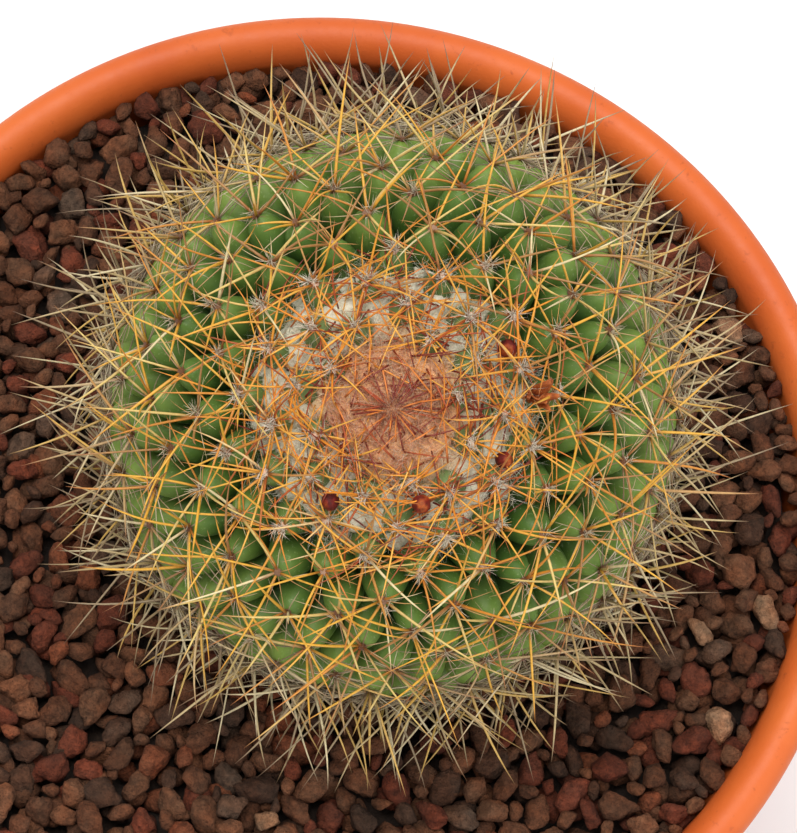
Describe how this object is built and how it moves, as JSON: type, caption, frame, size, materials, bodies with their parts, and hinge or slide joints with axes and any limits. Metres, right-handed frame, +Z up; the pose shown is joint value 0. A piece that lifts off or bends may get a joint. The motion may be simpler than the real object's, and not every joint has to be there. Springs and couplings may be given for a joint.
{
  "type": "potted round cactus",
  "caption": "Round globular cactus with spiral tubercles, woolly crown and long golden spines, in a terracotta flower pot topped with lava gravel.",
  "frame": {"origin": "centre of the pot's flat base, where it stands", "axes": "+Z up along the pot's axis; -Y towards the side the plant leans to; +X to the right when seen from that side"},
  "size_m": [0.13, 0.13, 0.1656],
  "materials": {
    "terracotta": "satin",
    "potting_mix": "matte",
    "lava_gravel": "matte",
    "pale_stone": "matte",
    "cactus_skin": "satin",
    "wool": "matte",
    "spines": "satin",
    "buds": "satin",
    "dried_flower": "matte"
  },
  "bodies": {
    "root": {"cactus_body": "cactus_skin", "crown_wool": "wool", "dried_flower": "dried_flower", "flower_bud_1": "buds", "flower_bud_2": "buds", "flower_bud_3": "buds", "flower_bud_4": "buds", "gravel_bed": "lava_gravel", "lava_stone_06": "lava_gravel", "lava_stone_07": "lava_gravel", "lava_stone_08": "lava_gravel", "lava_stone_09": "lava_gravel", "lava_stone_10": "lava_gravel", "lava_stone_11": "lava_gravel", "lava_stone_12": "lava_gravel", "lava_stone_13": "lava_gravel", "lava_stone_14": "lava_gravel", "pale_stone_01": "pale_stone", "pale_stone_02": "pale_stone", "pale_stone_03": "pale_stone", "pale_stone_04": "pale_stone", "pale_stone_05": "pale_stone", "pot": "terracotta", "potting_mix": "potting_mix", "spine_cluster_01": "spines", "spine_cluster_02": "spines", "spine_cluster_03": "spines", "spine_cluster_04": "spines", "spine_cluster_05": "spines", "spine_cluster_06": "spines", "spine_cluster_07": "spines", "spine_cluster_08": "spines", "spine_cluster_09": "spines", "spine_cluster_10": "spines", "spine_cluster_11": "spines", "spine_cluster_12": "spines", "spine_cluster_13": "spines", "spine_cluster_14": "spines", "spine_cluster_15": "spines", "spine_cluster_16": "spines", "spine_cluster_17": "spines", "spine_cluster_18": "spines", "spine_cluster_19": "spines", "spine_cluster_20": "spines", "spine_cluster_21": "spines", "spine_cluster_22": "spines", "spine_cluster_23": "spines", "spine_cluster_24": "spines", "spine_cluster_25": "spines", "spine_cluster_26": "spines", "spine_cluster_27": "spines", "spine_cluster_28": "spines", "spine_cluster_29": "spines", "spine_cluster_30": "spines", "spine_cluster_31": "spines", "spine_cluster_32": "spines", "spine_cluster_33": "spines", "spine_cluster_34": "spines", "spine_cluster_35": "spines", "spine_cluster_36": "spines"}
  },
  "joints": []
}
